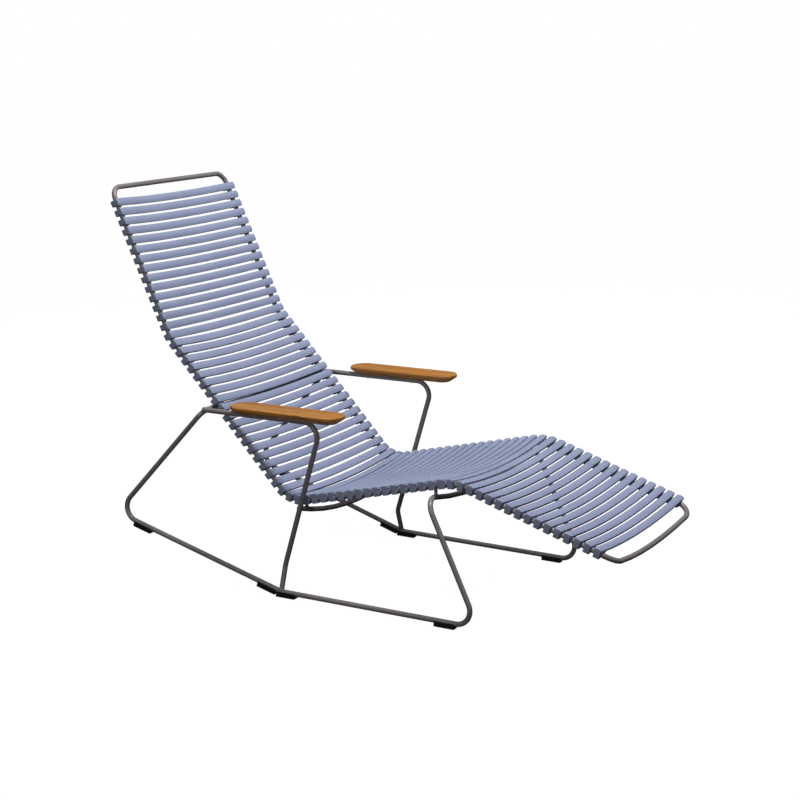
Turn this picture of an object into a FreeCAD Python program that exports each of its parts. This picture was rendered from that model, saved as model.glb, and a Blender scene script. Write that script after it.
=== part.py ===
# Rocking chaise lounge: a slatted lounge on a bent steel tube base whose side runners have a
# kink, so the lounge tips between an upright and a reclined rest. Millimetres, +Z up, +X to
# the sitter's left, the foot end towards -Y, origin on the floor below the middle of the box.
import FreeCAD, Part
import math
import os
from FreeCAD import Placement, Rotation, Vector

doc = FreeCAD.newDocument("rocking_chaise_lounge")
sheet = doc.addObject("Spreadsheet::Sheet", "sizes")
row_number = 0


def dimension(name, value, meaning):
    """Write one driving dimension into the spreadsheet and return its value."""
    global row_number
    row_number += 1
    sheet.set("A%d" % row_number, name)
    sheet.set("B%d" % row_number, str(value))
    sheet.set("C%d" % row_number, meaning)
    sheet.setAlias("B%d" % row_number, name)
    return value


# Frame tubes
tube_dia = dimension("tube_dia", 14.0, "outside of every bent frame tube")
post_dia = dimension("post_dia", 9.0, "short rods that carry the seat frame")

# Profile of the seat frame, measured at the tube's centre line
hip_y = dimension("hip_y", 182.1, "where the back and seat lines meet")
hip_height = dimension("hip_height", 247.5, "the same point above the floor")
upper_back_length = dimension("upper_back_length", 399.8, "first slat to the kink in the back")
lower_back_length = dimension("lower_back_length", 564.5, "kink in the back to the hip")
seat_length = dimension("seat_length", 517.6, "hip to knee")
leg_rest_length = dimension("leg_rest_length", 411.2, "knee to last slat")
upper_back_angle = dimension("upper_back_angle", 65.05, "upper back above level, degrees")
lower_back_angle = dimension("lower_back_angle", 46.74, "lower back above level, degrees")
seat_angle = dimension("seat_angle", 13.3, "seat rising towards the knee, degrees")
leg_rest_angle = dimension("leg_rest_angle", 17.6, "leg rest falling to the foot, degrees")
back_kink_radius = dimension("back_kink_radius", 110.0, "tube bend in the back")
hip_radius = dimension("hip_radius", 89.0, "tube bend under the hip")
knee_radius = dimension("knee_radius", 150.0, "tube bend over the knee")
head_reach = dimension("head_reach", 45.1, "first slat to the head crossbar")
head_corner_radius = dimension("head_corner_radius", 34.0, "bends at the head corners")
foot_reach = dimension("foot_reach", 46.5, "last slat to the foot crossbar")
foot_droop_angle = dimension("foot_droop_angle", 5.0, "rail ends below the leg rest, degrees")
foot_droop_radius = dimension("foot_droop_radius", 60.0, "tube bend into the droop")
foot_corner_radius = dimension("foot_corner_radius", 46.0, "bends at the foot corners")
foot_sag_angle = dimension("foot_sag_angle", 11.5, "slope at the ends of the foot crossbar")

# Slats
slat_count = dimension("slat_count", 68, "slats from head to foot")
slats_per_node = dimension("slats_per_node", 2, "neighbouring slats kept together")
slat_length = dimension("slat_length", 540.0, "over both end faces")
rail_inset = dimension("rail_inset", 14.0, "slat's end face to the rail's centre line")
slat_width = dimension("slat_width", 20.6, "body, along the rail")
slat_sag = dimension("slat_sag", 21.0, "dip of the middle below the ends")
slat_thickness = dimension("slat_thickness", 8.6, "body, top to underside")
slat_top = dimension("slat_top", 16.8, "rail centre to the slat's end top")
block_below = dimension("block_below", 10.5, "rail centre to the clip block's underside")
block_width = dimension("block_width", 16.8, "clip block along the rail")
block_length = dimension("block_length", 30.0, "clip block along the slat")
block_ramp = dimension("block_ramp", 14.0, "ramp from the block to the body")
slat_crown_width = dimension("slat_crown_width", 6.8, "sloped edge of the top, across")
slat_crown_drop = dimension("slat_crown_drop", 2.2, "sloped edge of the top, down")


# Base: runners, legs and armrest tubes
pad_below_tube = dimension("pad_below_tube", 6.5, "foot pad rubber under the runner")
rock_point_y = dimension("rock_point_y", 179.5, "kink in the runners")
leg_clearance = dimension("leg_clearance", 24.0, "slat ends out to the middle legs' centre")
rock_spread = dimension("rock_spread", 23.0, "kink outside the middle leg")
rock_angle = dimension("rock_angle", 15.8, "rear half of the runner above level")
rear_runner_length = dimension("rear_runner_length", 557.3, "kink to the rear corner")
rear_spread = dimension("rear_spread", 45.0, "rear corner outside the middle leg")
front_corner_y = dimension("front_corner_y", -412.2, "front end of the runner")
front_spread = dimension("front_spread", 16.0, "front corner outside the middle leg")
rear_top_y = dimension("rear_top_y", 430.3, "top of the rear leg")
rear_top_height = dimension("rear_top_height", 482.0, "top of the rear leg above the floor")
rear_top_spread = dimension("rear_top_spread", 7.0, "top of the rear leg, the same way")
rear_bar_slope = dimension("rear_bar_slope", 3.0, "slope at the ends of the rear crossbar")
knee_bar_set_back = dimension("knee_bar_set_back", 58.9, "crossbar behind the knee")
knee_bar_drop = dimension("knee_bar_drop", 19.7, "rail down to the crossbar's corners")
knee_bar_slope = dimension("knee_bar_slope", 13.0, "slope at the ends of the knee crossbar")
rear_top_radius = dimension("rear_top_radius", 30.0, "bend into the rear crossbar")
leg_bend_radius = dimension("leg_bend_radius", 40.0, "bends of legs, runners and arms")
rock_bend_radius = dimension("rock_bend_radius", 60.0, "slight bends in the runner and leg")
arm_front_y = dimension("arm_front_y", 56.0, "front corner of the armrest tube")
arm_height = dimension("arm_height", 483.0, "armrest tube at its front corner")
arm_rear_spread = dimension("arm_rear_spread", 3.0, "tube's rear end outside the middle leg")
arm_rear_height = dimension("arm_rear_height", 481.0, "armrest tube at the rear leg")
dogleg_height = dimension("dogleg_height", 83.0, "where the middle leg turns outwards")
seat_bar_drop = dimension("seat_bar_drop", 1.5, "crossbar's ends below the hip point")
seat_bar_sag = dimension("seat_bar_sag", 47.0, "dip of its middle")
seat_bar_set_back = dimension("seat_bar_set_back", 3.0, "behind the middle leg's centre line")

# Wooden armrests
armrest_length = dimension("armrest_length", 346.0, "over the rounded ends")
armrest_width = dimension("armrest_width", 83.0, "across the top")
armrest_thickness = dimension("armrest_thickness", 22.0, "top face to underside")
armrest_edge = dimension("armrest_edge", 9.0, "upright part of the edge")
armrest_bevel = dimension("armrest_bevel", 20.0, "underside set in from the edge")
armrest_overhang = dimension("armrest_overhang", 69.0, "wood in front of the tube's corner")
armrest_outset = dimension("armrest_outset", 6.0, "wood's middle outside the tube's")
armrest_groove = dimension("armrest_groove", 1.0, "tube let into the underside")
armrest_top_round = dimension("armrest_top_round", 2.0, "eased top edge")
screw_dia = dimension("screw_dia", 5.0, "armrest screws")
screw_head_dia = dimension("screw_head_dia", 8.0, "armrest screws' flat heads")
screw_head_height = dimension("screw_head_height", 2.6, "armrest screws' flat heads")
screw_seat = dimension("screw_seat", 2.4, "depth that the head is let into the tube")
screw_depth = dimension("screw_depth", 13.0, "thread in the wood")
screw_first = dimension("screw_first", 140.0, "first screw from the wood's front")
screw_spacing = dimension("screw_spacing", 150.0, "between the two screws")

# Foot pads
pad_length = dimension("pad_length", 58.0, "along the runner")
pad_width = dimension("pad_width", 20.0, "across the runner")
pad_grip = dimension("pad_grip", 1.0, "pad's top edge above the tube's centre")
pad_shift = dimension("pad_shift", 13.0, "middle pads' meeting point behind the kink")
pad_gap = dimension("pad_gap", 1.0, "middle pads' ends, and end pads to the bends")

doc.recompute()
tube_radius = tube_dia / 2
slat_half = slat_length / 2
rail_half_span = slat_half - rail_inset
arm_half_width = slat_half + leg_clearance
runner_height = tube_radius + pad_below_tube
SIDES = {"left": 1, "right": -1}
ACROSS = Vector(1, 0, 0)


def slope(angle, towards=1):
    """Unit vector in the YZ plane, a given number of degrees above level."""
    return Vector(0, towards * math.cos(math.radians(angle)), math.sin(math.radians(angle)))


def fillet_ends(before, corner, after, radius):
    """Start, middle and end of the arc that rounds a corner between two straight runs."""
    to_before = (before - corner).normalize()
    to_after = (after - corner).normalize()
    half = to_before.getAngle(to_after) / 2
    reach = radius / math.tan(half)
    bisector = (to_before + to_after).normalize()
    middle = corner + bisector * (radius / math.sin(half) - radius)
    return corner + to_before * reach, middle, corner + to_after * reach


def bent_wire(points, radii):
    """Wire of straight runs through the points, each inner corner rounded by its radius."""
    edges = []
    here = points[0]
    for index, radius in enumerate(radii, 1):
        start, middle, end = fillet_ends(points[index - 1], points[index], points[index + 1], radius)
        if (start - here).Length > 0.01:
            edges.append(Part.LineSegment(here, start).toShape())
        edges.append(Part.Arc(start, middle, end).toShape())
        here = end
    if (points[-1] - here).Length > 0.01:
        edges.append(Part.LineSegment(here, points[-1]).toShape())
    return Part.Wire(edges)


def tube(wire, diameter):
    """Round bar swept along a wire."""
    first = wire.OrderedEdges[0]
    start = wire.OrderedVertexes[0].Point
    at_start = first.Curve.parameter(start)
    ring = Part.Wire(Part.Circle(start, first.tangentAt(at_start), diameter / 2).toShape())
    return wire.makePipe(Part.Face(ring))


def add_shape(label, shape):
    """Put a computed shape into the document."""
    piece = doc.addObject("Part::Feature", label)
    piece.Label = label
    piece.Shape = shape
    return piece


def add_cut(label, base, tool):
    """Part cut of one document object by another."""
    cut = doc.addObject("Part::Cut", label)
    cut.Label = label
    cut.Base = base
    cut.Tool = tool
    return cut


nodes = []

# Seat frame. One loop of tube: two side rails in the lounge's profile, a straight crossbar
# at the head and a slightly dished one at the foot.
hip = Vector(0, hip_y, hip_height)
back_kink = hip + slope(lower_back_angle) * lower_back_length
first_slat = back_kink + slope(upper_back_angle) * upper_back_length
knee = hip + slope(seat_angle, -1) * seat_length
last_slat = knee + slope(-leg_rest_angle, -1) * leg_rest_length
head_corner = first_slat + slope(upper_back_angle) * head_reach
foot_angle = leg_rest_angle + foot_droop_angle
foot_corner = last_slat + slope(-foot_angle, -1) * foot_reach
foot_up = slope(90 - foot_angle, -1)


def seat_height(place_y):
    """Height of the rail's centre line along the seat."""
    return hip_height + (hip_y - place_y) * math.tan(math.radians(seat_angle))


def rail_wire(side):
    """Centre line of a side rail with its half bends into both crossbars."""
    out = ACROSS * (side * rail_half_span)
    inward = ACROSS * -side
    foot_dip = math.radians(foot_sag_angle)
    foot_inward = inward * math.cos(foot_dip) - foot_up * math.sin(foot_dip)
    profile = [head_corner, back_kink, hip, knee, last_slat, foot_corner]
    points = [corner + out for corner in profile]
    radii = [head_corner_radius, back_kink_radius, hip_radius, knee_radius, foot_droop_radius,
             foot_corner_radius]
    head_reach_in = fillet_ends(points[0] + inward, points[0], points[1], head_corner_radius)[0]
    foot_reach_in = fillet_ends(points[4], points[5], points[5] + foot_inward, foot_corner_radius)[2]
    return bent_wire([head_reach_in] + points + [foot_reach_in], radii)


def dished_bar(end_left, slope_angle, up):
    """Arc between an end point and its mirror image that meets them at the given slope."""
    radius = end_left.x / math.sin(math.radians(slope_angle))
    dip = radius - math.sqrt(radius ** 2 - end_left.x ** 2)
    middle = Vector(0, end_left.y, end_left.z) - up * dip
    end_right = Vector(-end_left.x, end_left.y, end_left.z)
    return Part.Wire(Part.Arc(end_left, middle, end_right).toShape())


rails = {}
for side_name, side in SIDES.items():
    rails[side_name] = add_shape("seat_rail_" + side_name, tube(rail_wire(side), tube_dia))
    nodes.append(rails[side_name])

head_end = rail_wire(1).OrderedVertexes[0].Point
head_crossbar = doc.addObject("Part::Cylinder", "head_crossbar")
head_crossbar.setExpression("Radius", "sizes.tube_dia / 2")
head_crossbar.setExpression("Height", "sizes.slat_length - 2 * (sizes.rail_inset + sizes.head_corner_radius)")
head_crossbar.Placement = Placement(Vector(-head_end.x, head_end.y, head_end.z), Rotation(Vector(0, 0, 1), ACROSS))
nodes.append(head_crossbar)

foot_end = rail_wire(1).OrderedVertexes[-1].Point
foot_crossbar = add_shape("foot_crossbar", tube(dished_bar(foot_end, foot_sag_angle, foot_up), tube_dia))
nodes.append(foot_crossbar)

# Base. Each side is one bent tube: from the rear crossbar down the rear leg, forward along
# the kinked runner, up the front leg and round into the crossbar under the knee.
rock_rise = slope(rock_angle) * rear_runner_length
rear_corner_y = rock_point_y + rock_rise.y
rear_corner_height = runner_height + rock_rise.z
knee_bar_y = knee.y + knee_bar_set_back
knee_bar_height = seat_height(knee_bar_y) - knee_bar_drop
seat_bar_height = hip_height - seat_bar_drop


def side_corners(side):
    """Corners of a side tube's centre line from the rear top to the knee."""
    return [
        Vector(side * (arm_half_width + rear_top_spread), rear_top_y, rear_top_height),
        Vector(side * (arm_half_width + rear_spread), rear_corner_y, rear_corner_height),
        Vector(side * (arm_half_width + rock_spread), rock_point_y, runner_height),
        Vector(side * (arm_half_width + front_spread), front_corner_y, runner_height),
        Vector(side * (arm_half_width + front_spread), knee_bar_y, knee_bar_height),
    ]


def crossbar_bend(corner, neighbour, side, slope_angle, radius):
    """Bend points where a side tube turns into a crossbar that dips by the given slope."""
    dip = math.radians(slope_angle)
    inward = Vector(-side * math.cos(dip), 0, -math.sin(dip))
    return fillet_ends(neighbour, corner, corner + inward, radius)


def side_wire(side):
    """Centre line of a side tube between the ends of the rear and the knee crossbar."""
    corners = side_corners(side)
    rear_start = crossbar_bend(corners[0], corners[1], side, rear_bar_slope, rear_top_radius)[2]
    knee_end = crossbar_bend(corners[-1], corners[-2], side, knee_bar_slope, leg_bend_radius)[2]
    radii = [rear_top_radius, leg_bend_radius, rock_bend_radius, leg_bend_radius, leg_bend_radius]
    return bent_wire([rear_start] + corners + [knee_end], radii)


side_tubes = {}
for side_name, side in SIDES.items():
    side_tubes[side_name] = add_shape("side_tube_" + side_name, tube(side_wire(side), tube_dia))
    nodes.append(side_tubes[side_name])

rear_end = side_wire(1).OrderedVertexes[0].Point
knee_end = side_wire(1).OrderedVertexes[-1].Point
rear_bar = add_shape("rear_crossbar", tube(dished_bar(rear_end, rear_bar_slope, Vector(0, 0, 1)), tube_dia))
knee_bar = add_shape("knee_crossbar", tube(dished_bar(knee_end, knee_bar_slope, Vector(0, 0, 1)), tube_dia))
nodes.extend([rear_bar, knee_bar])

# Armrest tubes. Each is welded to the bend at the top of the rear leg, runs forward under
# the wood, and turns down as the middle leg to the kink in the runner.
def arm_corners(side):
    """Centre line of an armrest tube, from the rear bend to the runner."""
    corners = side_corners(side)
    on_bend = crossbar_bend(corners[0], corners[1], side, rear_bar_slope, rear_top_radius)[1]
    rear = Vector(side * (arm_half_width + arm_rear_spread), on_bend.y, arm_rear_height)
    front = Vector(side * arm_half_width, arm_front_y, arm_height)
    dogleg = Vector(side * arm_half_width, rock_point_y, dogleg_height)
    return [rear, front, dogleg, corners[2]]


arm_tubes = {}
arm_frames = {}
screw_shapes = []
for side_name, side in SIDES.items():
    rear, front, dogleg, foot = arm_corners(side)
    bent = add_shape("arm_blank_" + side_name, tube(bent_wire([rear, front, dogleg, foot],
                     [leg_bend_radius, leg_bend_radius]), tube_dia))
    coped = add_cut("arm_coped_" + side_name, bent, side_tubes[side_name])

    # The wood lies on the straight run of the tube and leans with it
    along = (rear - front).normalize()
    lean = Rotation(ACROSS, math.degrees(math.atan2(along.z, along.y)))
    upward = lean * Vector(0, 0, 1)
    level = along - ACROSS * along.x
    bottom_front = front - level * armrest_overhang + upward * (tube_radius - armrest_groove)
    middle_x = side * (arm_half_width + armrest_outset)
    arm_frames[side_name] = Placement(Vector(middle_x, bottom_front.y, bottom_front.z), lean)

    # Screws come up through the tube into the wood
    pair = []
    for step in (0, 1):
        reach = screw_first - armrest_overhang + step * screw_spacing
        head_top = front + along * reach - upward * (tube_radius - screw_seat)
        head = Part.makeCylinder(screw_head_dia / 2, screw_head_height, head_top, upward * -1)
        thread_length = tube_dia - screw_seat - armrest_groove + screw_depth
        pair.append(head.fuse(Part.makeCylinder(screw_dia / 2, thread_length, head_top, upward)))
    screw_shapes.extend(pair)
    screws = add_shape("screw_pair_" + side_name, Part.makeCompound(pair))
    arm_tubes[side_name] = add_cut("arm_tube_" + side_name, coped, screws)
    nodes.append(arm_tubes[side_name])
doc.recompute()


def all_nearly(values, wanted):
    """True where every value lies within a hundredth of what is wanted."""
    return all(abs(value - wanted) < 0.01 for value in values)


# Wooden armrests: a board with round ends, its top edge eased and its underside chamfered
for side_name, side in SIDES.items():
    board = doc.addObject("PartDesign::Body", "armrest_blank_" + side_name)
    plane = [item for item in board.Origin.OriginFeatures if item.Role == "XY_Plane"][0]
    outline = board.newObject("Sketcher::SketchObject", "armrest_outline_" + side_name)
    outline.AttachmentSupport = (plane, [""])
    outline.MapMode = "FlatFace"
    end_radius = armrest_width / 2
    front_middle = Vector(0, end_radius, 0)
    rear_middle = Vector(0, armrest_length - end_radius, 0)
    half_side = Vector(end_radius, 0, 0)
    upright = Vector(0, 0, 1)
    outline.addGeometry(Part.ArcOfCircle(Part.Circle(front_middle, upright, end_radius), math.pi, 2 * math.pi))
    outline.addGeometry(Part.LineSegment(front_middle + half_side, rear_middle + half_side))
    outline.addGeometry(Part.ArcOfCircle(Part.Circle(rear_middle, upright, end_radius), 0, math.pi))
    outline.addGeometry(Part.LineSegment(rear_middle - half_side, front_middle - half_side))
    pad = board.newObject("PartDesign::Pad", "armrest_board_" + side_name)
    pad.Profile = outline
    pad.setExpression("Length", "sizes.armrest_thickness")
    doc.recompute()
    upper = []
    for index, edge in enumerate(pad.Shape.Edges, 1):
        if all_nearly([vertex.Z for vertex in edge.Vertexes], armrest_thickness):
            upper.append("Edge%d" % index)
    eased = board.newObject("PartDesign::Fillet", "armrest_top_edge_" + side_name)
    eased.Base = (pad, upper)
    eased.setExpression("Radius", "sizes.armrest_top_round")
    doc.recompute()
    lower = []
    for index, edge in enumerate(eased.Shape.Edges, 1):
        if all_nearly([vertex.Z for vertex in edge.Vertexes], 0):
            lower.append("Edge%d" % index)
    bevel = board.newObject("PartDesign::Chamfer", "armrest_bevel_" + side_name)
    bevel.Base = (eased, lower)
    bevel.ChamferType = "Two distances"
    bevel.FlipDirection = True
    bevel.setExpression("Size", "sizes.armrest_bevel")
    bevel.setExpression("Size2", "sizes.armrest_thickness - sizes.armrest_edge")
    board.Tip = bevel
    board.Placement = arm_frames[side_name]
    doc.recompute()
    grooved = add_cut("armrest_grooved_" + side_name, board, doc.getObject("arm_coped_" + side_name))
    nodes.append(add_cut("armrest_" + side_name, grooved, doc.getObject("screw_pair_" + side_name)))
nodes.append(add_shape("armrest_screws", Part.makeCompound(screw_shapes)))

# Crossbar under the seat, welded between the two middle legs and dished like a hammock
leg_top = Vector(arm_half_width, arm_front_y, arm_height)
leg_low = Vector(arm_half_width, rock_point_y, dogleg_height)
leg_share = (arm_height - seat_bar_height) / (arm_height - dogleg_height)
seat_bar_end = leg_top + (leg_low - leg_top) * leg_share + Vector(0, seat_bar_set_back, 0)
seat_bar_slope = math.degrees(2 * math.atan(seat_bar_sag / arm_half_width))
seat_bar_blank = add_shape("seat_bar_blank", tube(dished_bar(seat_bar_end, seat_bar_slope, upright), tube_dia))
seat_bar_coped = add_cut("seat_bar_coped", seat_bar_blank, arm_tubes["left"])
seat_bar = add_cut("seat_crossbar", seat_bar_coped, arm_tubes["right"])
nodes.append(seat_bar)

# Posts between the crossbars and the rails of the seat frame, one pair under the seat and
# one pair under the knee. Each is cut to the round of both tubes.
def height_on_bar(end_left, slope_angle, across):
    """Height of a dished crossbar's centre line at a distance from the centre plane."""
    radius = end_left.x / math.sin(math.radians(slope_angle))
    return end_left.z + math.sqrt(radius ** 2 - end_left.x ** 2) - math.sqrt(radius ** 2 - across ** 2)


crossbars = {
    "seat": (seat_bar, seat_bar_end, seat_bar_slope),
    "knee": (knee_bar, knee_end, knee_bar_slope),
}
posts = []
for place, (crossbar, bar_end, bar_slope) in crossbars.items():
    bar_height = height_on_bar(bar_end, bar_slope, rail_half_span)
    for side_name, side in SIDES.items():
        rod = doc.addObject("Part::Cylinder", "%s_post_blank_%s" % (place, side_name))
        rod.setExpression("Radius", "sizes.post_dia / 2")
        rod.Height = seat_height(bar_end.y) - bar_height
        rod.Placement.Base = Vector(side * rail_half_span, bar_end.y, bar_height)
        on_bar = add_cut("%s_post_on_bar_%s" % (place, side_name), rod, crossbar)
        posts.append(add_cut("%s_post_%s" % (place, side_name), on_bar, rails[side_name]))
nodes.extend(posts)

# Foot pads. Rubber saddles under the runner: one at each end of it and one on either side
# of the kink, each cut to the round of the tube.
for side_name, side in SIDES.items():
    corners = side_corners(side)
    rear_corner, rock_point, front_corner = corners[1], corners[2], corners[3]
    front_bend = fillet_ends(rock_point, front_corner, corners[4], leg_bend_radius)[0]
    rear_bend = fillet_ends(rock_point, rear_corner, corners[0], leg_bend_radius)[0]
    forward = (front_corner - rock_point).normalize()
    backward = (rear_corner - rock_point).normalize()
    seats = {
        "front": (front_bend, forward * -1),
        "mid_front": (rock_point - forward * pad_shift, forward),
        "mid_rear": (rock_point + backward * pad_shift, backward),
        "rear": (rear_bend, backward * -1),
    }
    for place, (start, run) in seats.items():
        block = doc.addObject("Part::Box", "pad_blank_%s_%s" % (place, side_name))
        block.setExpression("Length", "sizes.pad_width")
        block.setExpression("Width", "sizes.pad_length")
        block.setExpression("Height", "sizes.tube_dia / 2 + sizes.pad_below_tube + sizes.pad_grip")
        heading = Rotation(ACROSS, run, upright, "YZX")
        corner = Vector(-pad_width / 2, pad_gap, -tube_radius - pad_below_tube)
        block.Placement = Placement(start + heading * corner, heading)
        nodes.append(add_cut("pad_%s_%s" % (place, side_name), block, side_tubes[side_name]))

# Slats. The blank is one plastic slat seen from the end of the chair: a thin body from end to
# end that sags in the middle, and under each end a narrower clip block that the rail runs
# through, with a ramp back up to the body.
blank = doc.addObject("PartDesign::Body", "slat_blank")
block_end = slat_half - block_length
ramp_end = block_end - block_ramp
top_radius = (slat_half ** 2 + slat_sag ** 2) / (2 * slat_sag)
body_radius = top_radius + slat_thickness
top_centre = slat_top - slat_sag + top_radius


def under_body(across):
    """Height of the thin body's underside at a distance from the slat's middle."""
    return top_centre - math.sqrt(body_radius ** 2 - across ** 2)


def mirrored(point):
    """The same point on the other half of the slat."""
    return Vector(-point.x, point.y, point.z)


def slat_sketch(label):
    """Sketch on the slat blank's upright plane."""
    upright_plane = [item for item in blank.Origin.OriginFeatures if item.Role == "XZ_Plane"][0]
    sketch = blank.newObject("Sketcher::SketchObject", label)
    sketch.AttachmentSupport = (upright_plane, [""])
    sketch.MapMode = "FlatFace"
    return sketch


def slat_pad(label, sketch, length):
    """Sketch padded to both sides of its plane."""
    pad = blank.newObject("PartDesign::Pad", label)
    pad.Profile = sketch
    pad.Midplane = True
    pad.setExpression("Length", length)
    doc.recompute()
    return pad


end_top = Vector(slat_half, slat_top, 0)
end_under = Vector(slat_half, under_body(slat_half), 0)
top_middle = Vector(0, slat_top - slat_sag, 0)
under_middle = Vector(0, top_middle.y - slat_thickness, 0)
body_outline = slat_sketch("slat_body_outline")
body_outline.addGeometry(Part.Arc(mirrored(end_top), top_middle, end_top))
body_outline.addGeometry(Part.LineSegment(end_top, end_under))
body_outline.addGeometry(Part.Arc(end_under, under_middle, mirrored(end_under)))
body_outline.addGeometry(Part.LineSegment(mirrored(end_under), mirrored(end_top)))
slat_body = slat_pad("slat_body", body_outline, "sizes.slat_width")

# The blocks start half-way up the body, so that body and blocks are one moulding
into_body = Vector(0, slat_thickness / 2, 0)
block_outline = slat_sketch("slat_block_outline")
block_points = [
    end_under + into_body,
    Vector(slat_half, -block_below, 0),
    Vector(block_end, -block_below, 0),
    Vector(ramp_end, under_body(ramp_end), 0),
    Vector(ramp_end, under_body(ramp_end), 0) + into_body,
]
for corners in (block_points, [mirrored(point) for point in block_points]):
    for point, following in zip(corners, corners[1:] + corners[:1]):
        block_outline.addGeometry(Part.LineSegment(point, following))
slat_blocks = slat_pad("slat_blocks", block_outline, "sizes.block_width")
top_edges = []
for index, edge in enumerate(slat_blocks.Shape.Edges, 1):
    middle = edge.valueAt((edge.FirstParameter + edge.LastParameter) / 2)
    if edge.Length > slat_length and middle.z > under_middle.y + slat_thickness / 2:
        top_edges.append("Edge%d" % index)
slat_crown = blank.newObject("PartDesign::Chamfer", "slat_crown")
slat_crown.Base = (slat_blocks, top_edges)
slat_crown.ChamferType = "Two distances"
slat_crown.FlipDirection = True
slat_crown.setExpression("Size", "sizes.slat_crown_drop")
slat_crown.setExpression("Size2", "sizes.slat_crown_width")
blank.Tip = slat_crown
doc.recompute()

# The rail's profile from the first slat to the last, as straight runs and bends in order
profile_points = [first_slat, back_kink, hip, knee, last_slat]
profile = bent_wire(profile_points, [back_kink_radius, hip_radius, knee_radius])
slat_pitch = profile.Length / (slat_count - 1)


def on_profile(distance):
    """Point and direction on the rail's centre line at a distance from the first slat."""
    for edge in profile.OrderedEdges:
        if distance <= edge.Length + 0.001:
            spot = edge.getParameterByLength(min(distance, edge.Length))
            return edge.valueAt(spot), edge.tangentAt(spot)
        distance -= edge.Length


through_slats = [rails["left"].Shape, rails["right"].Shape] + [post.Shape for post in posts]
for number in range(1, slat_count + 1, slats_per_node):
    group = []
    for index in range(number, min(number + slats_per_node, slat_count + 1)):
        point, direction = on_profile((index - 1) * slat_pitch)
        facing = Rotation(ACROSS, math.degrees(math.atan2(-direction.z, -direction.y)))
        slat = slat_crown.Shape.copy()
        slat.Placement = Placement(point, facing) * slat.Placement
        for tool in through_slats:
            slat = slat.cut(tool)
        group.append(slat)
    nodes.append(add_shape("slats_%02d_to_%02d" % (number, index), Part.makeCompound(group)))

# Check every object, then write one file per sub-part
doc.recompute()
for item in doc.Objects:
    if "Invalid" in item.State or "Error" in item.State:
        raise RuntimeError("%s failed to build: %s" % (item.Label, item.State))
os.makedirs("parts", exist_ok=True)
for node in nodes:
    if node.Shape.isNull() or not node.Shape.isValid():
        raise RuntimeError("%s has no valid shape" % node.Label)
    node.Shape.exportStep("parts/%s.step" % node.Label)
box = Part.makeCompound([node.Shape for node in nodes]).BoundBox
print("sub-parts %d, slat pitch %.2f mm" % (len(nodes), slat_pitch))
print("box X %.1f..%.1f Y %.1f..%.1f Z %.1f..%.1f" % (box.XMin, box.XMax, box.YMin, box.YMax, box.ZMin, box.ZMax))
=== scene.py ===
import bpy
import numpy as np
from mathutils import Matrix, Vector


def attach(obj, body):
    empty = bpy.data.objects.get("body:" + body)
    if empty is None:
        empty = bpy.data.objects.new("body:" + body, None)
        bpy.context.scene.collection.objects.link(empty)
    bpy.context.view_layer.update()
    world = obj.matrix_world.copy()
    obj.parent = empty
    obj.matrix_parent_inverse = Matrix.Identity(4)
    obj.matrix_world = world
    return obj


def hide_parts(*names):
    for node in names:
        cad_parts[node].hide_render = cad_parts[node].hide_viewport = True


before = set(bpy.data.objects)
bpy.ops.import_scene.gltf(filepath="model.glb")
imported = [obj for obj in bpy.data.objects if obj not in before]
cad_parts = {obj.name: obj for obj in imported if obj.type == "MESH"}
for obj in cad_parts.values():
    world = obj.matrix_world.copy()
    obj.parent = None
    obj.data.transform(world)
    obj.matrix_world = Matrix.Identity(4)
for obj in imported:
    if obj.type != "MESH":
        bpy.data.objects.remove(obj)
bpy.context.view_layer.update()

# Seat frame, the part everything else hangs from. One loop of round steel tube: two side rails
# bent to the lounge's profile, a straight crossbar at the head and a dished one at the foot.
# It is bent cold, welded, and powder coated in a warm grey after welding.
tube_radius = 0.007
tube_sides = 28
bend_step = np.radians(4)
rail_x = 0.256
head_radius, kink_radius, hip_radius, knee_radius = 0.034, 0.110, 0.089, 0.150
droop_radius, foot_radius = 0.060, 0.046
upper_back_angle, lower_back_angle = np.radians([65.05, 46.74])
seat_angle, leg_rest_angle = np.radians([13.3, 17.6])
foot_slope, foot_droop = np.radians([11.5, 5])
upper_back_length, lower_back_length = 0.3998, 0.5645
seat_length, leg_rest_length = 0.5176, 0.4112
head_reach, foot_reach = 0.0451, 0.0465
across = np.array([1.0, 0, 0])
upright = np.array([0, 0, 1.0])
sides = {"left": 1, "right": -1}


def slope(angle, towards=1):
    """Unit vector in the YZ plane: cosine of the angle along Y, sine of it up."""
    return np.array([0, towards * np.cos(angle), np.sin(angle)])


def unit(vectors):
    """Each vector divided by its own length."""
    return vectors / np.linalg.norm(vectors, axis=-1, keepdims=True)


def turned(vector, axis, angles):
    """The vector turned about a unit axis by each angle: its own cosine share, plus the sine
    share of axis cross vector, plus the part along the axis that doesn't turn."""
    share = np.asarray(angles)[:, None]
    along = axis * (axis @ vector)
    return (vector - along) * np.cos(share) + np.cross(axis, vector) * np.sin(share) + along


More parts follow.
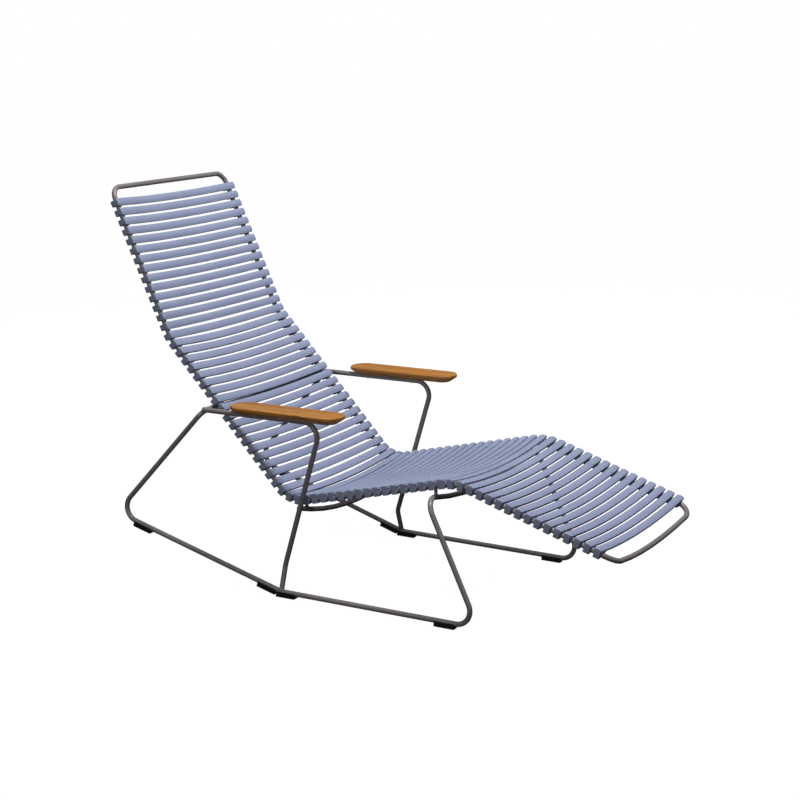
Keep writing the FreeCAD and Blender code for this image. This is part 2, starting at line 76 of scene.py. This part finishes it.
def bent_path(corners, radii, side, trimmed=False):
    """Rows of point, heading and side vector along straight runs joined by arcs. An arc is its
    centre plus the inward normal turned about the bend's axis, and the side vector turns with
    it, so it never twists. A trimmed path starts and stops at its first and last arc."""
    corners = [np.array(corner, float) for corner in corners]
    heading = unit(corners[1] - corners[0])
    side = unit(side - heading * (heading @ side))
    rows = [] if trimmed else [np.hstack([corners[0], heading, side])[None]]
    for before, corner, after, radius in zip(corners, corners[1:], corners[2:], radii):
        heading, onward = unit(corner - before), unit(after - corner)
        axis = np.cross(heading, onward)
        turn = np.arctan2(np.linalg.norm(axis), heading @ onward)
        axis = unit(axis)
        inward = np.cross(axis, heading)
        centre = corner - heading * radius * np.tan(turn / 2) + inward * radius
        angles = np.linspace(0, turn, max(4, int(turn / bend_step) + 2))
        rows.append(np.hstack([centre + turned(-inward * radius, axis, angles),
                               turned(heading, axis, angles), turned(side, axis, angles)]))
        side = rows[-1][-1, 6:]
    if not trimmed:
        rows.append(np.hstack([corners[-1], onward, side])[None])
    path = np.concatenate(rows)
    moved = np.linalg.norm(np.diff(path[:, :3], axis=0), axis=1) > 1e-5
    return path[np.concatenate([[True], moved])]


def loft(rings, closed_path=False):
    """Quads between neighbouring rings of equal count, each ring closed on itself, and one flat
    face over each end unless the path itself is closed."""
    count, around = rings.shape[:2]
    index = np.arange(count * around).reshape(count, around)
    low = index if closed_path else index[:-1]
    high = np.roll(index, -1, axis=0) if closed_path else index[1:]
    quads = np.stack([low, np.roll(low, -1, axis=1), np.roll(high, -1, axis=1), high], axis=-1)
    ends = [] if closed_path else [index[0][::-1].tolist(), index[-1].tolist()]
    return rings.reshape(-1, 3), quads.reshape(-1, 4).tolist() + ends


def tube_surface(path, radius, around=tube_sides):
    """Round tube: path point plus the radius times cosine of side vector and sine of its
    cross product with the heading, on a grid of path rows and angles."""
    angles = np.linspace(0, 2 * np.pi, around, endpoint=False)[None, :, None]
    points, headings, side = path[:, None, :3], path[:, None, 3:6], path[:, None, 6:]
    outward = np.cos(angles) * side + np.sin(angles) * np.cross(headings, side)
    return loft(points + radius * outward)


def add_piece(name, surface, finish, replaced=(), sharp=35):
    """Mesh object at the origin from points and faces, smooth except over sharp edges."""
    points, faces = surface
    mesh = bpy.data.meshes.new(name)
    mesh.from_pydata(np.asarray(points), [], faces)
    mesh.polygons.foreach_set("use_smooth", np.ones(len(mesh.polygons), bool))
    mesh.set_sharp_from_angle(angle=np.radians(sharp))
    mesh.materials.append(finish)
    mesh.validate()
    piece = bpy.data.objects.new(name, mesh)
    bpy.context.scene.collection.objects.link(piece)
    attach(piece, "root")
    if replaced:
        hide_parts(*replaced)
    return piece


def mirrored(surface, side):
    """The same surface for the left, or for the right with X changed in sign and faces turned."""
    points, faces = surface
    if side > 0:
        return surface
    return points * np.array([-1, 1, 1]), [face[::-1] for face in faces]


class Shade:
    """One output of a shader node. Sums and products with numbers or other outputs add Math
    nodes, and add() puts any other node into the same material."""

    def __init__(self, tree, output=None):
        self.tree = tree
        self.output = output

    def add(self, kind, settings=None, sockets=None, take=0):
        """New node of a type: its settings first, then its sockets from values or outputs."""
        node = self.tree.nodes.new("ShaderNode" + kind)
        for name, value in (settings or {}).items():
            setattr(node, name, value)
        for name, value in (sockets or {}).items():
            if isinstance(value, Shade):
                self.tree.links.new(value.output, node.inputs[name])
            else:
                node.inputs[name].default_value = value
        return Shade(self.tree, node.outputs[take])

    def math_node(self, operation, other):
        """This value and a number or another output, joined by one Math node."""
        return self.add("Math", {"operation": operation}, {0: self, 1: other})

    def __add__(self, other):
        return self.math_node("ADD", other)

    __radd__ = __add__

    def __mul__(self, other):
        return self.math_node("MULTIPLY", other)

    __rmul__ = __mul__

    def between(self, low, high):
        """Nought below the low value, one above the high one, and smooth in between."""
        return self.add("MapRange", {"interpolation_type": "SMOOTHSTEP"},
                        {"Value": self, "From Min": low, "From Max": high})

    def colours(self, first, second):
        """Mix of two colours, or of two outputs, by this value."""
        full = [value if isinstance(value, Shade) else (*value, 1) for value in (first, second)]
        return self.add("Mix", {"data_type": "RGBA"}, {0: self, 6: full[0], 7: full[1]}, 2)


def new_finish(name):
    """Material with its surface shader, and a Shade for adding nodes to it."""
    material = bpy.data.materials.new(name)
    material.use_nodes = True
    return material, material.node_tree.nodes["Principled BSDF"], Shade(material.node_tree)


def feed(shader, **sockets):
    """Set the surface shader's own sockets, from numbers or from outputs."""
    for name, value in sockets.items():
        target = shader.inputs[name.replace("_", " ")]
        if isinstance(value, Shade):
            shader.id_data.links.new(value.output, target)
        else:
            target.default_value = value


def place_of(shade, stretch=(1, 1, 1)):
    """The piece's own coordinates in metres, stretched along the three directions."""
    own = shade.add("TexCoord", take="Object")
    return own.add("Mapping", sockets={"Vector": own, "Scale": stretch})


powder_coat, shader, shade = new_finish("powder_coat")
here = place_of(shade)
peel = here.add("TexNoise", sockets={"Vector": here, "Scale": 900, "Detail": 3})
cloud = here.add("TexNoise", sockets={"Vector": here, "Scale": 14, "Detail": 4})
coat = cloud.between(0.3, 0.7).colours((0.218, 0.194, 0.197), (0.250, 0.224, 0.227))
peel_bump = peel.add("Bump", sockets={"Strength": 0.04, "Distance": 0.00003, "Height": peel})
feed(shader, Base_Color=coat, Roughness=0.26 + 0.08 * cloud, Normal=peel_bump,
     Specular_IOR_Level=0.5)

hip = np.array([0, 0.1821, 0.2475])
kink = hip + slope(lower_back_angle) * lower_back_length
first_slat = kink + slope(upper_back_angle) * upper_back_length
knee = hip + slope(seat_angle, -1) * seat_length
last_slat = knee + slope(-leg_rest_angle, -1) * leg_rest_length
head_corner = first_slat + slope(upper_back_angle) * head_reach
foot_angle = leg_rest_angle + foot_droop
foot_corner = last_slat + slope(-foot_angle, -1) * foot_reach
foot_up = slope(np.pi / 2 - foot_angle, -1)
foot_inward = -across * np.cos(foot_slope) - foot_up * np.sin(foot_slope)
out = across * rail_x
rail_path = bent_path(
    [head_corner + out - across, head_corner + out, kink + out, hip + out, knee + out,
     last_slat + out, foot_corner + out, foot_corner + out + foot_inward],
    [head_radius, kink_radius, hip_radius, knee_radius, droop_radius, foot_radius],
    upright, trimmed=True)
for side_name, side in sides.items():
    add_piece("rail_tube_" + side_name, mirrored(tube_surface(rail_path, tube_radius), side),
              powder_coat, ["seat_rail_" + side_name])


def dished_path(end, slope_angle, up):
    """Arc from a left-hand end to its mirror image. Its runs meet on the centre plane, below
    the end by the half span times the slope's tangent. Its radius is the half span over the
    slope's sine."""
    middle = end * np.array([0, 1, 1]) - up * end[0] * np.tan(slope_angle)
    far_end = end * np.array([-1, 1, 1])
    return bent_path([end, middle, far_end], [end[0] / np.sin(slope_angle)], up)


head_end = rail_path[0, :3]
head_path = np.array([np.hstack([head_end * [flip, 1, 1], -across, upright]) for flip in (1, -1)])
foot_path = dished_path(rail_path[-1, :3], foot_slope, foot_up)
add_piece("head_bar", tube_surface(head_path, tube_radius), powder_coat, ["head_crossbar"])
add_piece("foot_bar", tube_surface(foot_path, tube_radius), powder_coat, ["foot_crossbar"])

# Base. Each side is one bent tube: from the rear crossbar down the rear leg, forward along the
# kinked runner, up the front leg and round into the dished crossbar under the knee.
# Two pieces of the same tube close the base across the back and under the knee.
runner_z = 0.0135
slat_half = 0.270
leg_clearance = 0.024
leg_x = slat_half + leg_clearance
rock_spread, rear_spread, front_spread, rear_top_spread = 0.023, 0.045, 0.016, 0.007
rock_y, rear_runner_length = 0.1795, 0.5573
rock_angle = np.radians(15.8)
rear_bar_slope, knee_bar_slope = np.radians([3, 13])
knee_bar_set_back, knee_bar_drop = 0.0589, 0.0197
rear_top_radius, leg_radius, rock_radius = 0.030, 0.040, 0.060
rock_point = np.array([leg_x + rock_spread, rock_y, runner_z])
rear_top = np.array([leg_x + rear_top_spread, 0.4303, 0.482])
rear_corner = np.array([leg_x + rear_spread, rock_y, runner_z])
rear_corner = rear_corner + slope(rock_angle) * rear_runner_length
front_corner = np.array([leg_x + front_spread, -0.4122, runner_z])
knee_bar_y = knee[1] + knee_bar_set_back
knee_bar_z = hip[2] + (hip[1] - knee_bar_y) * np.tan(seat_angle) - knee_bar_drop
knee_corner = np.array([leg_x + front_spread, knee_bar_y, knee_bar_z])
rear_inward = -across * np.cos(rear_bar_slope) - upright * np.sin(rear_bar_slope)
knee_inward = -across * np.cos(knee_bar_slope) - upright * np.sin(knee_bar_slope)
side_path = bent_path(
    [rear_top + rear_inward, rear_top, rear_corner, rock_point, front_corner, knee_corner,
     knee_corner + knee_inward],
    [rear_top_radius, leg_radius, rock_radius, leg_radius, leg_radius], upright, trimmed=True)
rear_path = dished_path(side_path[0, :3], rear_bar_slope, upright)
knee_path = dished_path(side_path[-1, :3], knee_bar_slope, upright)
for side_name, side in sides.items():
    add_piece("base_tube_" + side_name, mirrored(tube_surface(side_path, tube_radius), side),
              powder_coat, ["side_tube_" + side_name])
add_piece("rear_bar", tube_surface(rear_path, tube_radius), powder_coat, ["rear_crossbar"])
add_piece("knee_bar", tube_surface(knee_path, tube_radius), powder_coat, ["knee_crossbar"])

# Armrest tubes. Each is coped and welded to the bend at the top of the rear leg, runs forward
# under the wood, and turns down as the middle leg that meets the runner at its kink.
arm_rear_spread = 0.003
top_bend = bent_path([rear_top + rear_inward, rear_top, rear_corner], [rear_top_radius],
                     upright, trimmed=True)
arm_rear = np.array([leg_x + arm_rear_spread, top_bend[len(top_bend) // 2, 1], 0.481])
arm_front = np.array([leg_x, 0.056, 0.483])
dogleg = np.array([leg_x, rock_point[1], 0.083])
arm_path = bent_path([arm_rear, arm_front, dogleg, rock_point], [leg_radius, leg_radius], upright)
for side_name, side in sides.items():
    add_piece("arm_tube_bent_" + side_name, mirrored(tube_surface(arm_path, tube_radius), side),
              powder_coat, ["arm_tube_" + side_name])

# Crossbar under the seat, welded between the middle legs and dished like a hammock, and the
# four short posts of thinner bar that carry the seat frame's rails on the two dished crossbars.
post_radius, post_sides = 0.0045, 20
seat_bar_drop, seat_bar_sag, seat_bar_set_back = 0.0015, 0.047, 0.003
seat_bar_z = hip[2] - seat_bar_drop
leg_share = (arm_front[2] - seat_bar_z) / (arm_front[2] - dogleg[2])
seat_bar_end = arm_front + (dogleg - arm_front) * leg_share + np.array([0, seat_bar_set_back, 0])
seat_bar_slope = 2 * np.arctan(seat_bar_sag / leg_x)
seat_path = dished_path(seat_bar_end, seat_bar_slope, upright)
add_piece("seat_bar", tube_surface(seat_path, tube_radius), powder_coat, ["seat_crossbar"])
posts = {}
for place, bar_path in (("seat", seat_path), ("knee", knee_path)):
    bar_z = np.interp(-rail_x, -bar_path[:, 0], bar_path[:, 2])
    rail_z = hip[2] + (hip[1] - bar_path[0, 1]) * np.tan(seat_angle)
    foot = np.array([rail_x, bar_path[0, 1], bar_z])
    posts[place] = foot
    post_path = np.array([np.hstack([foot * [1, 1, 0] + upright * z, upright, across])
                          for z in (bar_z, rail_z)])
    post = tube_surface(post_path, post_radius, post_sides)
    for side_name, side in sides.items():
        add_piece("%s_stay_%s" % (place, side_name), mirrored(post, side),
                  powder_coat, ["%s_post_%s" % (place, side_name)])

# Weld beads. A rippled seam of weld runs round every coped joint and was coated with the rest:
# arm tubes to the rear bends and to the runners, seat crossbar to the legs, posts to crossbars.
bead_radius = 0.0012
bead_points, bead_sides = 96, 10
ripple_height = 0.12
tube_ripples, post_ripples = 22, 14
march_steps, march_limit = 40, 0.026
tube_start, seat_post_start, knee_post_start = 0.03, 0.02, 0.012


def weld_bead(start, heading, branch_radius, main_path, ripples):
    """Closed rippled ring where a round branch meets a tube. Each line along the branch steps
    forward by its distance from the tube's surface until that is nought. The ring's section is
    a circle about that curve, its radius one plus a share of a cosine of the angle."""
    heading = unit(heading)
    side = unit(np.cross(heading, across + 0.3 * upright))
    angles = np.linspace(0, 2 * np.pi, bead_points, endpoint=False)
    radial = np.cos(angles)[:, None] * side + np.sin(angles)[:, None] * np.cross(heading, side)
    lines = start + branch_radius * radial
    left = np.full(len(lines), march_limit)
    low, high = main_path[:-1, :3], main_path[1:, :3]
    run = high - low
    for _ in range(march_steps):
        share = np.einsum("ijk,jk->ij", lines[:, None] - low, run) / (run ** 2).sum(1)
        nearest = low + np.clip(share, 0, 1)[..., None] * run
        apart = np.linalg.norm(lines[:, None] - nearest, axis=2)
        pick = apart.argmin(1)
        step = np.clip(apart.min(1) - tube_radius, 0, left)
        lines = lines + heading * step[:, None]
        left = left - step
    away = unit(lines - nearest[np.arange(len(lines)), pick])
    outward = unit(away + radial)
    tangent = unit(np.roll(lines, -1, axis=0) - np.roll(lines, 1, axis=0))
    outward = unit(outward - tangent * (outward * tangent).sum(1, keepdims=True))
    second = np.cross(tangent, outward)
    turn = np.linspace(0, 2 * np.pi, bead_sides, endpoint=False)[None, :, None]
    size = (bead_radius * (1 + ripple_height * np.cos(ripples * angles)))[:, None, None]
    ring = np.cos(turn) * outward[:, None] + np.sin(turn) * second[:, None]
    return loft(lines[:, None] + size * ring, closed_path=True)


seat_run = unit(seat_path[2, :3] - seat_path[0, :3])
leg_run = unit(dogleg - rock_point)
tube_seam = (tube_radius, side_path, tube_ripples)
seams = {
    "arm_rear": (arm_rear - slope(0) * tube_start, slope(0), *tube_seam),
    "arm_foot": (rock_point + leg_run * tube_start, rock_point - dogleg, *tube_seam),
    "seat_end": (seat_path[0, :3] + seat_run * tube_start, -seat_run, tube_radius, arm_path,
                 tube_ripples),
    "seat_post": (posts["seat"] + upright * seat_post_start, -upright, post_radius, seat_path,
                  post_ripples),
    "knee_post": (posts["knee"] + upright * knee_post_start, -upright, post_radius, knee_path,
                  post_ripples),
}
for seam, how in seams.items():
    bead = weld_bead(*how)
    for side_name, side in sides.items():
        add_piece("weld_%s_%s" % (seam, side_name), mirrored(bead, side), powder_coat,
                  sharp=80)

# Armrests. A board of oiled hardwood with round ends, its top edge eased by hand and its
# underside chamfered, let over the tube by a shallow groove and held by two screws from below.
wood_length, wood_width, wood_thick = 0.346, 0.083, 0.022
wood_edge, wood_bevel, wood_round, wood_soft = 0.009, 0.020, 0.0025, 0.0009
wood_overhang, wood_outset, wood_groove = 0.069, 0.006, 0.001
along_arm = unit(arm_rear - arm_front)
level_arm = unit(along_arm * [0, 1, 1])
above_arm = np.cross(across, level_arm)
wood_front = arm_front - level_arm * wood_overhang + above_arm * (tube_radius - wood_groove)
wood_front = wood_front * [0, 1, 1] + across * (leg_x + wood_outset)


def wood_board(around_end=22):
    """Rings of a stadium outline, each set in from the edge by the profile and at its height.
    The profile goes from the middle of the underside out over the bevel, up the edge, round the
    eased arris by a quarter circle and in over the top."""
    quarter = np.linspace(0, np.pi / 2, 7)[:, None]
    arris = np.hstack([wood_round * (1 - np.cos(quarter)),
                       wood_thick - wood_round * (1 - np.sin(quarter))])
    edge_foot = wood_thick - wood_edge
    rise = wood_soft * 0.65
    profile = np.vstack([[(wood_bevel + 0.004, 0), (wood_bevel + wood_soft, 0),
                          (wood_bevel - wood_soft, rise), (wood_soft, edge_foot - rise),
                          (0, edge_foot + wood_soft)],
                         arris, [(wood_round + 0.002, wood_thick), (0.012, wood_thick)]])
    half = np.linspace(-np.pi, 0, around_end)
    cosine, sine = np.cos(half), np.sin(half)
    unit_ring = np.vstack([np.column_stack([cosine, sine]), np.column_stack([-cosine, -sine])])
    middle_y = np.repeat([wood_width / 2, wood_length - wood_width / 2], around_end)
    radius = (wood_width / 2 - profile[:, 0])[:, None]
    x = unit_ring[:, 0] * radius
    y = unit_ring[:, 1] * radius + middle_y
    rings = (wood_front + x[..., None] * across + y[..., None] * level_arm
             + profile[:, 1][:, None, None] * above_arm)
    return loft(rings)


def grain(shade, draw, scale, detail, distortion=0.0):
    """Noise drawn out along the board: its second coordinate counts only by the draw's share."""
    return shade.add("TexNoise", sockets={"Vector": place_of(shade, (1, draw, 1)), "Scale": scale,
                                          "Detail": detail, "Distortion": distortion})


oiled_wood, shader, shade = new_finish("oiled_wood")
wander = grain(shade, 0.07, 45, 3, 0.6)
bands = grain(shade, 0.03, 150, 4)
fibre = grain(shade, 0.02, 1500, 2)
fleck = grain(shade, 0.14, 230, 1)
tone = wander.between(0.3, 0.7).colours((0.560, 0.246, 0.036), (0.432, 0.160, 0.018))
streak = bands.between(0.48, 0.60) * 0.75
tone = streak.colours(tone, (0.30, 0.105, 0.024))
tone = (fleck.between(0.61, 0.68) * 0.75).colours(tone, (0.17, 0.055, 0.014))
tone = (fibre.between(0.35, 0.65) * 0.16).colours(tone, (0.68, 0.36, 0.10))
pores = 0.6 * fibre + 0.4 * bands
pore_bump = pores.add("Bump", sockets={"Strength": 0.3, "Distance": 0.0003, "Height": pores})
feed(shader, Base_Color=tone, Roughness=0.42 + 0.16 * fibre, Normal=pore_bump)
for side_name, side in sides.items():
    add_piece("arm_board_" + side_name, mirrored(wood_board(), side), oiled_wood,
              ["armrest_" + side_name])

# Screws that hold the wood, two to each armrest. They are plated steel, turned and rolled, and
# are driven up through the tube, with their flat heads let into its underside.
plated_steel, shader, shade = new_finish("plated_steel")
here = place_of(shade)
scuff = here.add("TexNoise", sockets={"Vector": here, "Scale": 700, "Detail": 4})
feed(shader, Base_Color=scuff.colours((0.45, 0.44, 0.42), (0.62, 0.61, 0.59)), Metallic=1.0,
     Roughness=0.25 + 0.25 * scuff)
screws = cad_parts["armrest_screws"]
screws.data.materials.clear()
screws.data.materials.append(plated_steel)

# Slats. Each is one moulding in blue-grey plastic: a crowned body that sags in the middle, and
# under each end a narrower clip block that the rail runs through, with a ramp up to the body.
# They are pushed onto the rails one by one and keep an even pitch from head to foot.
slat_width, slat_top, slat_sag, slat_body = 0.0206, 0.0168, 0.021, 0.0086
block_low, block_length, block_ramp, block_width = 0.0105, 0.030, 0.014, 0.0168
crown_drop, slat_arris, end_round, rib_depth = 0.0022, 0.0004, 0.0026, 0.0006
lower_arris, rib_neck = 0.0006, 0.0003
slat_count, slats_per_pair = 68, 2
sag_radius = (slat_half ** 2 + slat_sag ** 2) / (2 * slat_sag)


def slat_surface(middle, heading):
    """Sections across the slat on a grid of stations from end to end. The top is a circle that
    sags by the set depth and loses the crown's drop with the square of the way to the edge. The
    body's underside is its thickness lower, and the rib below it ramps down to the clip block.
    Over the last stations the section draws in by a quarter circle, more at the top."""
    ramp_end = slat_half - block_length - block_ramp
    half = np.concatenate([np.linspace(0, ramp_end, 9),
                           ramp_end + np.array([0.35, 0.7, 1.0]) * block_ramp,
                           slat_half - end_round * np.array([6, 1.0, 0.62, 0.3, 0.08, 0])])
    stations = np.concatenate([-half[:0:-1], half])[:, None]
    reach = np.abs(stations)
    top = slat_top - slat_sag + sag_radius - np.sqrt(sag_radius ** 2 - reach ** 2)
    under = slat_top - slat_sag + sag_radius - np.sqrt((sag_radius + slat_body) ** 2 - reach ** 2)
    ramp = np.clip((reach - ramp_end) / block_ramp, 0, 1)
    low = under - rib_depth + (rib_depth - block_low - under) * ramp
    nook = 0.0002 + 0.0006 * ramp
    edge, side = slat_width / 2, block_width / 2
    way = np.linspace(-1, 1, 9)
    crown_w, crown_n = way * (edge - slat_arris), top - crown_drop * way ** 2
    turn = np.linspace(0, np.pi / 2, 4)[1:]
    one = np.ones_like(reach)
    shoulder_w = edge - slat_arris * (1 - np.sin(turn))
    shoulder_n = top - crown_drop - slat_arris * (1 - np.cos(turn))
    right_w = np.hstack([one * shoulder_w, one * edge, one * (edge - lower_arris),
                         one * (side + rib_neck), one * side, one * side, side - 0.3 * nook,
                         side - nook])
    right_n = np.hstack([shoulder_n, under + lower_arris, under, under, under - 0.0002,
                         low + nook, low + 0.3 * nook, low])
    w = np.hstack([one * crown_w, right_w, -right_w[:, ::-1]])
    n = np.hstack([crown_n, right_n, right_n[:, ::-1]])
    near_end = np.clip(1 - (slat_half - reach) / end_round, 0, 1)
    draw_in = end_round * (1 - np.sqrt(1 - near_end ** 2))
    narrower = draw_in * (0.55 + 0.45 * (np.abs(w) > side))
    w = w - np.sign(w) * np.minimum(narrower, np.abs(w))
    n = n - draw_in * np.clip((n - under) / slat_body, 0, 1) + 0.45 * draw_in * (n < under - 0.001)
    return loft(middle + stations[..., None] * across + w[..., None] * heading
                + n[..., None] * np.cross(heading, across))


slat_plastic, shader, shade = new_finish("slat_plastic")
here = place_of(shade)
haze = here.add("TexNoise", sockets={"Vector": here, "Scale": 9, "Detail": 3})
pebble = here.add("TexNoise", sockets={"Vector": here, "Scale": 1300, "Detail": 2})
tint = haze.between(0.3, 0.7).colours((0.286, 0.328, 0.487), (0.310, 0.354, 0.517))
pebble_bump = pebble.add("Bump", sockets={"Strength": 0.06, "Distance": 0.00002, "Height": pebble})
feed(shader, Base_Color=tint, Roughness=0.44 + 0.12 * haze, Normal=pebble_bump)
rail_line = bent_path([first_slat, kink, hip, knee, last_slat],
                      [kink_radius, hip_radius, knee_radius], across)
steps = np.linalg.norm(np.diff(rail_line[:, :3], axis=0), axis=1)
travelled = np.concatenate([[0], np.cumsum(steps)])
spots = np.linspace(0, travelled[-1], slat_count)
places = np.column_stack([np.interp(spots, travelled, column) for column in rail_line[:, :6].T])
middles, headings = places[:, :3], unit(places[:, 3:])
for first in range(0, slat_count, slats_per_pair):
    points, faces = [], []
    for number in range(first, first + slats_per_pair):
        slat_points, slat_faces = slat_surface(middles[number], headings[number])
        faces += [[corner + sum(map(len, points)) for corner in face] for face in slat_faces]
        points.append(slat_points)
    ends = "%02d_to_%02d" % (first + 1, first + slats_per_pair)
    add_piece("slat_pair_" + ends, (np.concatenate(points), faces), slat_plastic,
              ["slats_" + ends])

# Foot pads. Black rubber saddles moulded to the tube and pushed on from below, one at each end
# of a runner and one on either side of its kink, so that the lounge stands or rocks quietly.
pad_length, pad_width, pad_below, pad_grip = 0.058, 0.020, 0.0065, 0.001
pad_gap, pad_shift, pad_edge_round = 0.001, 0.013, 0.0008


def pad_surface(start, run):
    """Saddle section carried along the runner: up the outside, in to the tube, round under it by
    a half circle, and back out."""
    beside = -across * np.sign(run @ slope(0))
    above = unit(np.cross(run, beside))
    low, high, wide = -tube_radius - pad_below, pad_grip, pad_width / 2
    lap = np.arcsin(high / tube_radius)
    sweep = np.linspace(lap, -np.pi - lap, 20)
    bore = np.column_stack([np.cos(sweep), np.sin(sweep)]) * tube_radius
    section = np.vstack([[(-wide, low), (wide, low), (wide, high)], bore, [(-wide, high)]])
    ends = np.array([pad_gap, pad_gap + pad_length])
    outline = section[:, :1] * beside + section[:, 1:] * above
    return loft(start + ends[:, None, None] * run + outline)


black_rubber, shader, shade = new_finish("black_rubber")
here = place_of(shade)
dust = here.add("TexNoise", sockets={"Vector": here, "Scale": 220, "Detail": 4})
rubber_bump = dust.add("Bump", sockets={"Strength": 0.3, "Distance": 0.0002, "Height": dust})
rubber = dust.between(0.4, 0.8).colours((0.002, 0.002, 0.0022), (0.006, 0.0055, 0.006))
feed(shader, Base_Color=rubber, Roughness=0.55 + 0.2 * dust, Normal=rubber_bump)
front_bend, rear_bend = [
    bent_path([rock_point, corner, onward], [leg_radius], across, trimmed=True)[0, :3]
    for corner, onward in ((front_corner, knee_corner), (rear_corner, rear_top))]
forward, backward = unit(front_corner - rock_point), unit(rear_corner - rock_point)
pad_places = {
    "front": (front_bend, -forward),
    "mid_front": (rock_point - forward * pad_shift, forward),
    "mid_rear": (rock_point + backward * pad_shift, backward),
    "rear": (rear_bend, -backward),
}
for place, (start, run) in pad_places.items():
    for side_name, side in sides.items():
        node = "pad_%s_%s" % (place, side_name)
        pad = add_piece(node + "_saddle", mirrored(pad_surface(start, run), side), black_rubber,
                        [node])
        bevel = pad.modifiers.new("soft_edges", "BEVEL")
        bevel.width = pad_edge_round
        bevel.segments = 2
        bevel.limit_method = "ANGLE"

# Studio. A white sweep that shows as plain white and keeps only a faint shadow, a soft lamp
# above, weaker ones beside and behind, and the camera where the photograph was taken from.
floor_half = 40
sweep_glow, glow_share = 1.07, 0.92
floor_corners = [(-floor_half, -floor_half, 0), (floor_half, -floor_half, 0),
                 (floor_half, floor_half, 0), (-floor_half, floor_half, 0)]
floor_mesh = bpy.data.meshes.new("floor")
floor_mesh.from_pydata(floor_corners, [], [(0, 1, 2, 3)])
floor = bpy.data.objects.new("floor", floor_mesh)
bpy.context.scene.collection.objects.link(floor)
sweep, shader, shade = new_finish("white_sweep")
path = shade.add("LightPath", take="Is Camera Ray")
glow = shade.add("Emission", sockets={"Color": (1, 1, 1, 1), "Strength": sweep_glow})
matt_tone = path.colours((0.04, 0.04, 0.04), (0.9, 0.9, 0.9))
matt = shade.add("BsdfDiffuse", sockets={"Color": matt_tone})
shown = shade.add("MixShader", sockets={0: path * glow_share, 1: matt, 2: glow})
output = sweep.node_tree.nodes["Material Output"]
sweep.node_tree.links.new(shown.output, output.inputs["Surface"])
floor_mesh.materials.append(sweep)

world = bpy.data.worlds.new("studio")
world.use_nodes = True
bpy.context.scene.world = world
shade = Shade(world.node_tree)
seen = shade.add("LightPath", take="Is Camera Ray")
tone = seen.colours((0.12, 0.12, 0.12), (1, 1, 1))
world.node_tree.links.new(tone.output, world.node_tree.nodes["Background"].inputs["Color"])


def soft_lamp(name, place, target, width, depth, power):
    """Rectangular area lamp that faces a point."""
    lamp = bpy.data.lights.new(name, "AREA")
    lamp.shape = "RECTANGLE"
    lamp.size, lamp.size_y, lamp.energy = width, depth, power
    holder = bpy.data.objects.new(name, lamp)
    bpy.context.scene.collection.objects.link(holder)
    holder.location = place
    holder.rotation_mode = "QUATERNION"
    away = Vector(place) - Vector(target)
    holder.rotation_quaternion = away.to_track_quat("Z", "Y")


soft_lamp("key", (-0.1, -0.9, 3.9), (0, 0, 0.4), 1.1, 1.1, 120)
soft_lamp("fill", (-3.7, -0.3, 1.5), (0, 0, 0.5), 2.4, 2.4, 26)
soft_lamp("rear", (1.6, 3.2, 2.4), (0, 0, 0.5), 2.4, 2.4, 20)

camera_data = bpy.data.cameras.new("photo_view")
camera_data.sensor_width = 36
camera_data.lens = 76.696
camera = bpy.data.objects.new("photo_view", camera_data)
bpy.context.scene.collection.objects.link(camera)
right = np.array([0.50944, -0.86046, -0.00922])
up = np.array([0.19188, 0.10315, 0.97598])
back = -np.array([0.83884, 0.49898, -0.21765])
placing = np.eye(4)
placing[:3, :3] = np.column_stack([right, up, back])
placing[:3, 3] = (-3.8846, -2.3177, 1.5041)
camera.matrix_world = Matrix(placing.tolist())
bpy.context.scene.camera = camera
bpy.context.scene.view_settings.view_transform = "Standard"
